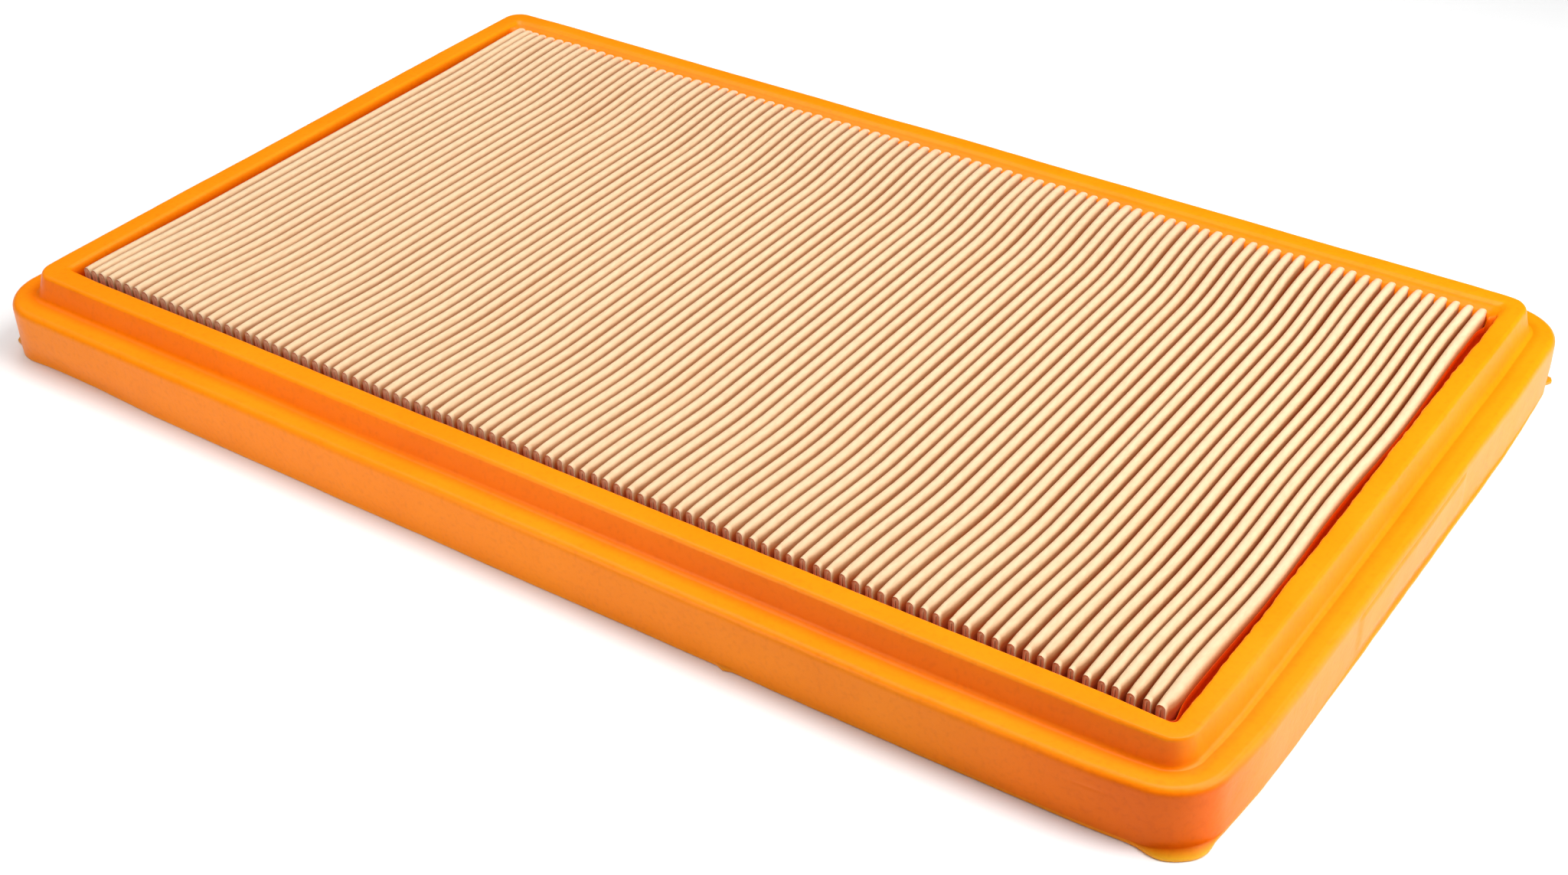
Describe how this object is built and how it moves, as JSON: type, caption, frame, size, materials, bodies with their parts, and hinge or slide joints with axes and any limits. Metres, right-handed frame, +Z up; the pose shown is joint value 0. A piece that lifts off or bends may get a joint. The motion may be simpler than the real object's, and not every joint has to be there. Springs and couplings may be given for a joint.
{
  "type": "panel air filter",
  "caption": "Flat rectangular air filter: pleated cream paper pack cast into an orange polyurethane seal frame with a clamping flange and a raised lip, on a wire support screen.",
  "frame": {"origin": "centre of the flat underside that seats in the airbox", "axes": "+Z up through the filter, from the clean-air underside to the dirty-air side with the raised lip; +X along the long side; the fold lines of the pleats run along Y"},
  "size_m": [0.2886, 0.1766, 0.0187],
  "materials": {
    "polyurethane": "satin orange integral-skin polyurethane foam",
    "filter_paper": "matt resin-treated filter paper, cream",
    "screen_wire": "galvanised steel wire",
    "hot_melt": "translucent ivory hot melt"
  },
  "bodies": {
    "root": {"seal_frame": "polyurethane", "pleated_paper": "filter_paper", "screen_cross_wires": "screen_wire", "screen_long_wires": "screen_wire", "spacer_bead_1": "hot_melt", "spacer_bead_2": "hot_melt", "spacer_bead_3": "hot_melt", "spacer_bead_4": "hot_melt"}
  },
  "joints": []
}
